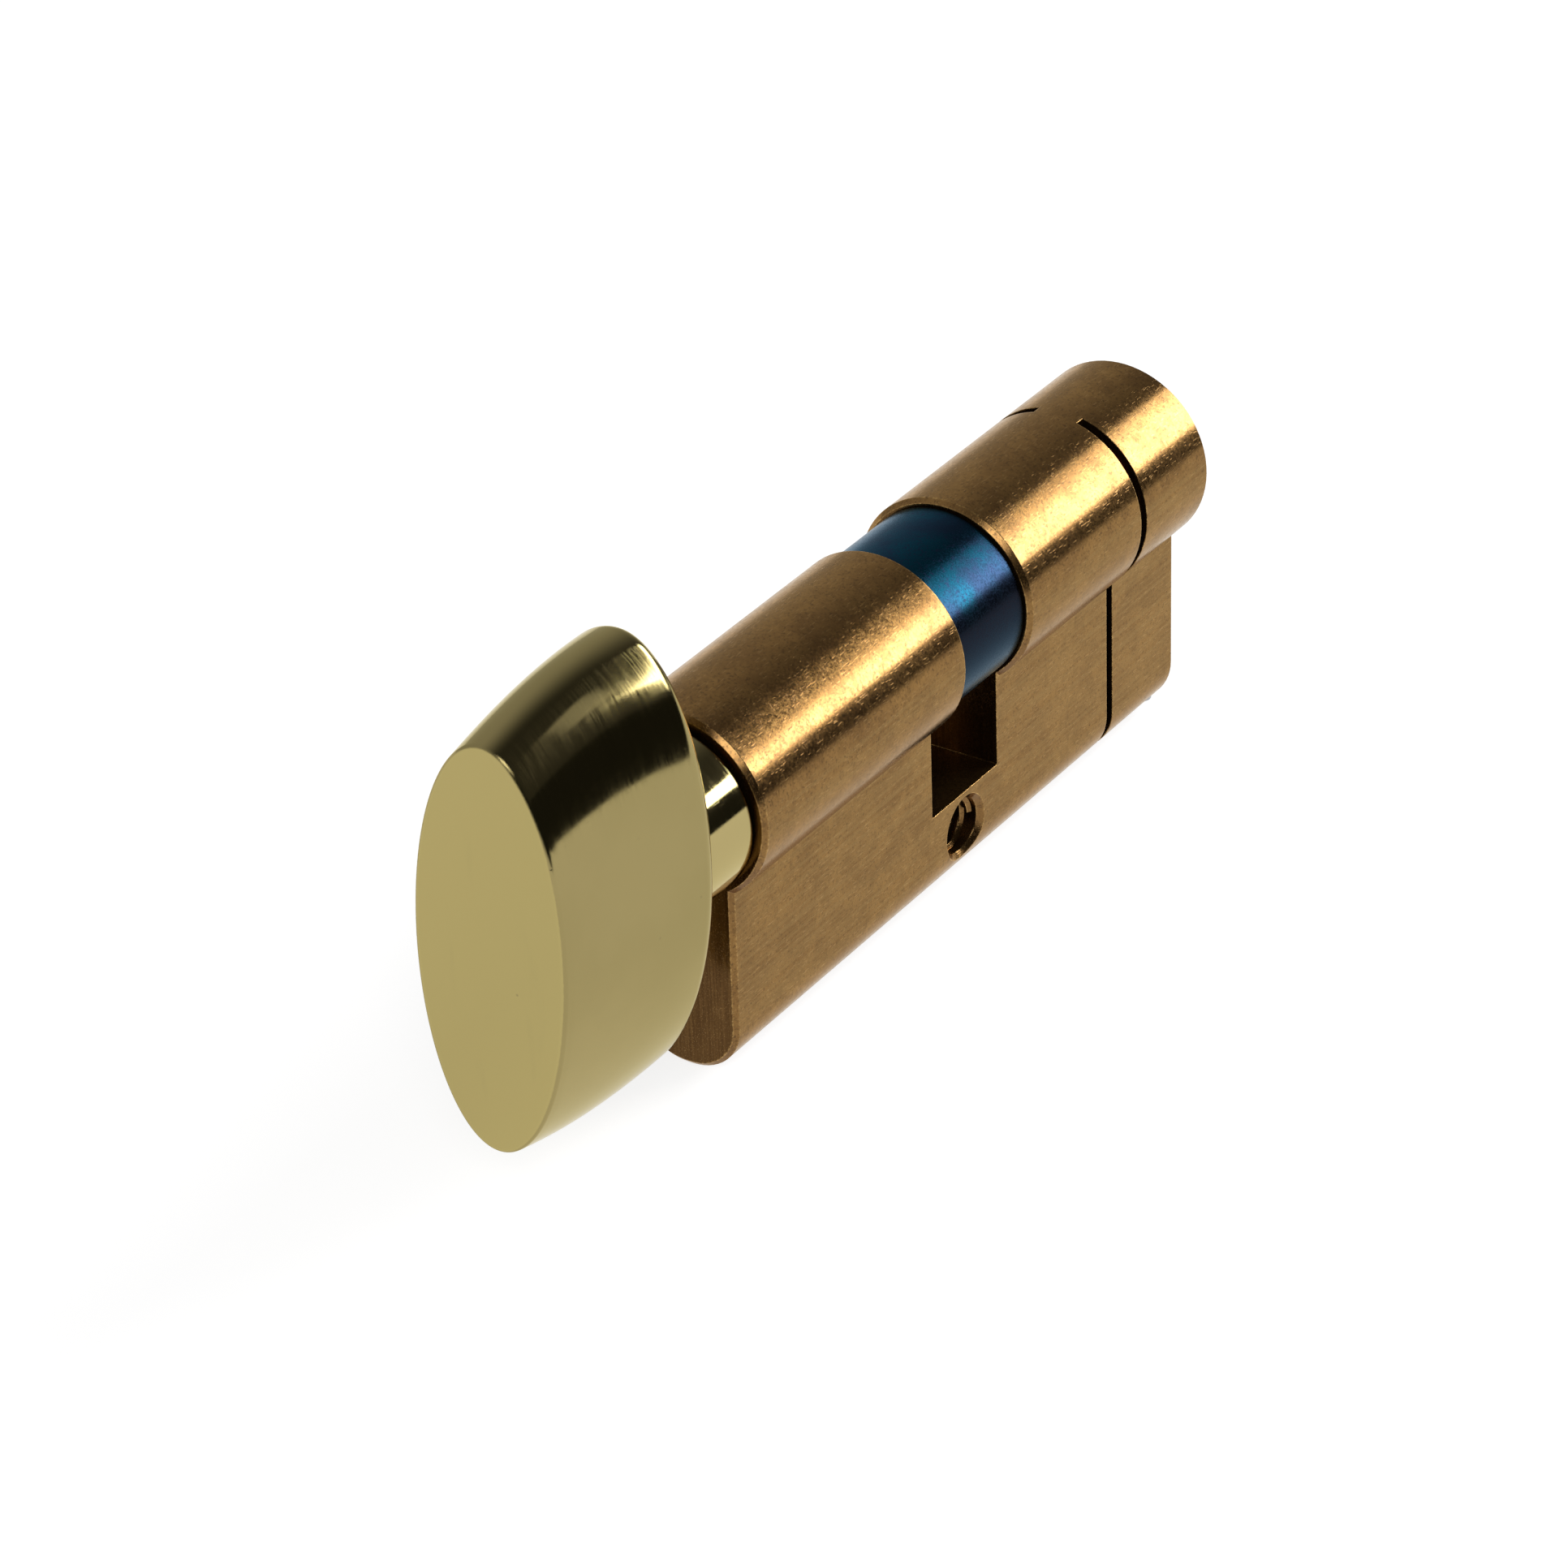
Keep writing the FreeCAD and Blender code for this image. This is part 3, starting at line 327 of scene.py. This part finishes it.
def polished_brass():
    """Pale polished brass of the thumb turn, with fine buffing lines, faint scuffs and a few pits. Its front face and
    neck are painted lighter than its flank, as lit copies of the same brass.
    """
    g = Graph("polished_brass")
    tone = g.ramp(g.noise(90.0, 3.0, 0.5), 0.35, 0.65)
    # Painted light: mask of the front face, which is made lighter than the flank
    lit_front = g.ramp(g.size(g.parts(g.normal)[0]), 0.90, 0.99)
    neck = g.ramp(g.parts(g.place)[0], *NECK_START)
    scuff = g.ramp(g.lines((60.0, 420.0, 55.0), (0.6, 0.0, 0.0)), 0.60, 0.72)
    pits = g.ramp(g.cells(300.0), 0.045, 0.02)
    buff = g.lines((5200.0, 260.0, 260.0))
    marks = g.scratches(160.0, (0.2, 1.0, 0.4), 40.0, 0.09)

    color = g.mix(tone, rgb(0.295, 0.238, 0.098), rgb(0.312, 0.252, 0.106))
    # Painted light: the front face is a lighter, lit copy of the flank's brass
    color = g.mix(lit_front, color, rgb(0.415, 0.338, 0.132))
    # Painted highlight: the neck is a lighter copy of the flank's brass so that its highlight reads white; its
    # smoother, unbuffed finish below is its own
    color = g.mix(neck, color, rgb(0.40, 0.325, 0.140))
    color = g.lay(color, scuff, 0.10, rgb(0.31, 0.26, 0.115))
    color = g.lay(color, pits, 0.45, rgb(0.20, 0.16, 0.08))

    rough = g.ramp(buff, 0.3, 0.7, 0.075, 0.125)
    rough = g.minus(rough, g.times(neck, 0.04))
    rough = g.plus(rough, g.times(g.larger(marks, scuff), 0.06))

    level = g.bump(buff, 0.22, 0.004 * MM, g.smoothed_flank())
    level = g.bump(marks, 0.20, -0.003 * MM, level)
    level = g.bump(pits, 0.4, -0.01 * MM, level)
    g.brushed_round(g.minus(0.8, g.times(neck, 0.8)))
    return g.finish(color, rough, level, rgb(1.0, 0.95, 0.75))


def machined_brass():
    """Turned brass of the plug, the spindle and the pins, with fine rings round the X axis."""
    g = Graph("machined_brass")
    along, across, up = g.parts(g.place)
    radius = g.math("SQRT", g.plus(g.times(across, across), g.times(up, up)))
    rings = g.math("SINE", g.times(g.plus(radius, along), 52000.0))
    patches = g.ramp(g.noise(600.0, 4.0, 0.6), 0.35, 0.68)

    color = g.mix(patches, rgb(0.46, 0.31, 0.115), rgb(0.35, 0.22, 0.08))
    color = g.lay(color, g.edges(0.15 * MM), 0.5, rgb(0.60, 0.43, 0.18))
    rough = g.ramp(g.noise(2200.0, 3.0, 0.6), 0.3, 0.7, 0.22, 0.34)
    level = g.bump(rings, 0.08, 0.004 * MM, g.rounded(0.08 * MM))
    level = g.bump(g.noise(5200.0, 2.0, 0.6), 0.12, 0.01 * MM, level)
    return g.finish(color, rough, level)


def blued_steel():
    """Heat-blued steel of the cam: navy, with a painted highlight of bright blue and violet grains where it faces up
    and painted shade in dark grey where it faces down.
    """
    g = Graph("blued_steel")
    drift = g.ramp(g.noise(150.0, 3.0, 0.55, warp=0.4), 0.38, 0.62)
    grain = g.ramp(g.noise(5200.0, 3.0, 0.75), 0.36, 0.66)
    violet = g.ramp(g.noise(2600.0, 3.0, 0.75), 0.50, 0.66)
    # Painted light: mask of the faces that point up
    lit_upper_faces = g.ramp(g.parts(g.normal)[2], 0.25, 0.60)

    # Painted highlight: bright blue with violet grains for the faces that point up
    upward_highlight = g.mix(drift, rgb(0.003, 0.042, 0.070), rgb(0.010, 0.020, 0.044))
    upward_highlight = g.lay(upward_highlight, violet, g.minus(0.65, g.times(drift, 0.4)), rgb(0.018, 0.015, 0.050))
    # Painted shade: faces that point down get dark grey instead of the blue highlight colour
    color = g.mix(lit_upper_faces, rgb(0.011, 0.008, 0.012), upward_highlight)
    color = g.lay(color, grain, 0.35, rgb(0.006, 0.016, 0.030))
    color = g.lay(color, g.edges(0.15 * MM), 0.35, rgb(0.05, 0.055, 0.08))
    rough = g.ramp(grain, 0.0, 1.0, 0.20, 0.30)
    level = g.bump(g.noise(4600.0, 3.0, 0.7), 0.40, 0.010 * MM, g.rounded(0.12 * MM))
    level = g.bump(g.noise(1100.0, 2.0, 0.5), 0.06, 0.02 * MM, level)
    return g.finish(color, rough, level, rgb(0.60, 0.72, 0.82))


def plain_steel(name, light, dark, low, high):
    """Ground or drawn steel with fine grain."""
    g = Graph(name)
    color = g.mix(g.ramp(g.noise(900.0, 3.0, 0.6), 0.35, 0.65), light, dark)
    rough = g.ramp(g.noise(3500.0, 3.0, 0.6), 0.3, 0.7, low, high)
    level = g.bump(g.noise(6000.0, 2.0, 0.6), 0.15, 0.008 * MM, g.rounded(0.05 * MM))
    return g.finish(color, rough, level)


def dress_nodes():
    """Gives each node the material of its slot in the record."""
    made = {
        "satin_brass": satin_brass(),
        "polished_brass": polished_brass(),
        "machined_brass": machined_brass(),
        "blued_steel": blued_steel(),
        "hard_steel": plain_steel("hard_steel", rgb(0.42, 0.42, 0.43), rgb(0.3444, 0.3444, 0.3526), 0.22, 0.34),
        "spring_steel": plain_steel("spring_steel", rgb(0.55, 0.55, 0.56), rgb(0.451, 0.451, 0.4592), 0.16, 0.26),
    }
    for row in frame["record"]["subparts"]:
        for holder in frame["nodes"][row["node"]].material_slots:
            holder.material = made[row["material_slot"]]
    return made


# Thread of the fixing hole
def make_thread(material):
    middle_x, _, middle_z = frame["record"]["mounts"][0]["pos_m"]
    rows = int(THREAD_LENGTH / THREAD_PITCH * THREAD_STEPS)
    points, faces = [], []
    for row in range(rows + 1):
        angle = 2 * math.pi * row / THREAD_STEPS
        start = -THREAD_LENGTH / 2 + (THREAD_LENGTH - RIDGE_WIDTH * THREAD_PITCH) * row / rows
        for along, radius in RIDGE:
            points.append((middle_x + radius * math.cos(angle), start + along * THREAD_PITCH,
                           middle_z + radius * math.sin(angle)))
    for row in range(rows):
        for k in range(len(RIDGE) - 1):
            a = row * len(RIDGE) + k
            faces.append((a, a + 1, a + 1 + len(RIDGE), a + len(RIDGE)))
    piece = put_mesh("screw_thread", points, faces, material)
    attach(piece, "housing")


# Studio
def blank_material(name):
    """Material with nothing but its output."""
    material = bpy.data.materials.new(name)
    material.use_nodes = True
    tree = material.node_tree
    tree.nodes.clear()
    return material, tree, tree.nodes.new("ShaderNodeOutputMaterial").inputs["Surface"]


def glowing(name, strength):
    material, tree, surface = blank_material(name)
    glow = tree.nodes.new("ShaderNodeEmission")
    glow.inputs["Color"].default_value = WHITE
    glow.inputs["Strength"].default_value = strength
    tree.links.new(glow.outputs[0], surface)
    return material


def seen_rays(tree):
    """1 for camera, glossy and transmission rays, so that metal shows the same pale background."""
    path = tree.nodes.new("ShaderNodeLightPath")
    total = path.outputs["Is Camera Ray"]
    for name in ("Is Glossy Ray", "Is Transmission Ray"):
        node = tree.nodes.new("ShaderNodeMath")
        node.operation = "MAXIMUM"
        tree.links.new(total, node.inputs[0])
        tree.links.new(path.outputs[name], node.inputs[1])
        total = node.outputs[0]
    return total


def make_floor():
    material, tree, surface = blank_material("floor")
    paper = tree.nodes.new("ShaderNodeBsdfDiffuse")
    paper.inputs["Color"].default_value = rgb(FLOOR_TONE, FLOOR_TONE, FLOOR_TONE)
    level = tree.nodes.new("ShaderNodeMath")
    level.operation = "MULTIPLY"
    level.inputs[1].default_value = FLOOR_GLOW
    glow = tree.nodes.new("ShaderNodeEmission")
    both = tree.nodes.new("ShaderNodeAddShader")
    tree.links.new(seen_rays(tree), level.inputs[0])
    tree.links.new(level.outputs[0], glow.inputs["Strength"])
    tree.links.new(paper.outputs[0], both.inputs[0])
    tree.links.new(glow.outputs[0], both.inputs[1])
    tree.links.new(both.outputs[0], surface)
    corners = [(x * FLOOR_REACH, y * FLOOR_REACH, FLOOR_HEIGHT) for x, y in ((-1, -1), (1, -1), (1, 1), (-1, 1))]
    put_mesh("floor", corners, [(0, 1, 2, 3)], material)


def make_world():
    world = bpy.data.worlds.new("studio")
    world.use_nodes = True
    tree = world.node_tree
    back = tree.nodes["Background"]
    back.inputs["Color"].default_value = WHITE
    level = tree.nodes.new("ShaderNodeMapRange")
    level.inputs["To Min"].default_value = WORLD_LIGHT
    level.inputs["To Max"].default_value = WORLD_SEEN
    tree.links.new(seen_rays(tree), level.inputs["Value"])
    tree.links.new(level.outputs["Result"], back.inputs["Strength"])
    bpy.context.scene.world = world


def put_card(name, points, faces, material):
    """Studio card that only polished and satin metal mirrors."""
    card = put_mesh(name, points, faces, material)
    card.visible_camera = False
    card.visible_diffuse = False
    card.visible_shadow = False
    card.visible_transmission = False
    card.visible_volume_scatter = False


def direction(azimuth, elevation):
    a, e = math.radians(azimuth), math.radians(elevation)
    return Vector((math.cos(a) * math.cos(e), math.sin(a) * math.cos(e), math.sin(e)))


def make_room():
    """Dome round the object, dark in front and dimly lit behind."""
    material = glowing("room", ROOM_DARK)
    tree = material.node_tree
    place = tree.nodes.new("ShaderNodeTexCoord")
    parts = tree.nodes.new("ShaderNodeSeparateXYZ")
    level = tree.nodes.new("ShaderNodeMapRange")
    level.interpolation_type = "SMOOTHSTEP"
    for socket, value in zip(("From Min", "From Max", "To Min", "To Max"), (*ROOM_FADE, ROOM_DARK, ROOM_LIGHT)):
        level.inputs[socket].default_value = value
    tree.links.new(place.outputs["Object"], parts.inputs[0])
    tree.links.new(parts.outputs["Y"], level.inputs["Value"])
    tree.links.new(level.outputs["Result"], tree.nodes["Emission"].inputs["Strength"])

    row = ROOM_STEPS + 1
    points = [direction(360.0 * i / ROOM_STEPS - 180.0, ROOM_FOOT + (90.0 - ROOM_FOOT) * j / ROOM_STEPS) * ROOM_RADIUS
              for i in range(row) for j in range(row)]
    faces = [(a, a + 1, a + row + 1, a + row)
             for a in (i * row + j for i in range(ROOM_STEPS) for j in range(ROOM_STEPS))]
    put_card("room", points, faces, material)


def make_flag():
    """Low card that stands on the floor in front of the object."""
    points = [(x * MM, y * MM, z) for x, y in FLAG_LINE for z in (FLOOR_HEIGHT, FLOOR_HEIGHT + FLAG_HEIGHT)]
    faces = [(2 * k, 2 * k + 2, 2 * k + 3, 2 * k + 1) for k in range(len(FLAG_LINE) - 1)]
    put_card("flag", points, faces, glowing("flag", FLAG_GLOW))


def make_lamp(name, azimuth, elevation, distance, width, height, power, lean):
    """Soft rectangular lamp that faces the origin."""
    data = bpy.data.lights.new(name, "AREA")
    data.shape = "RECTANGLE"
    data.size = width
    data.size_y = height
    data.energy = power
    lamp = put(name, data)
    towards = direction(azimuth, elevation)
    lamp.location = towards * distance
    turn = towards.to_track_quat("Z", "Y") @ Quaternion((0.0, 0.0, 1.0), math.radians(lean))
    lamp.rotation_euler = turn.to_euler()
    lamp.visible_camera = False


make_camera()
finishes = dress_nodes()
make_thread(finishes["satin_brass"])
make_floor()
make_world()
make_room()
make_flag()
for lamp in LAMPS:
    make_lamp(*lamp)
bpy.context.scene.view_settings.view_transform = "Standard"
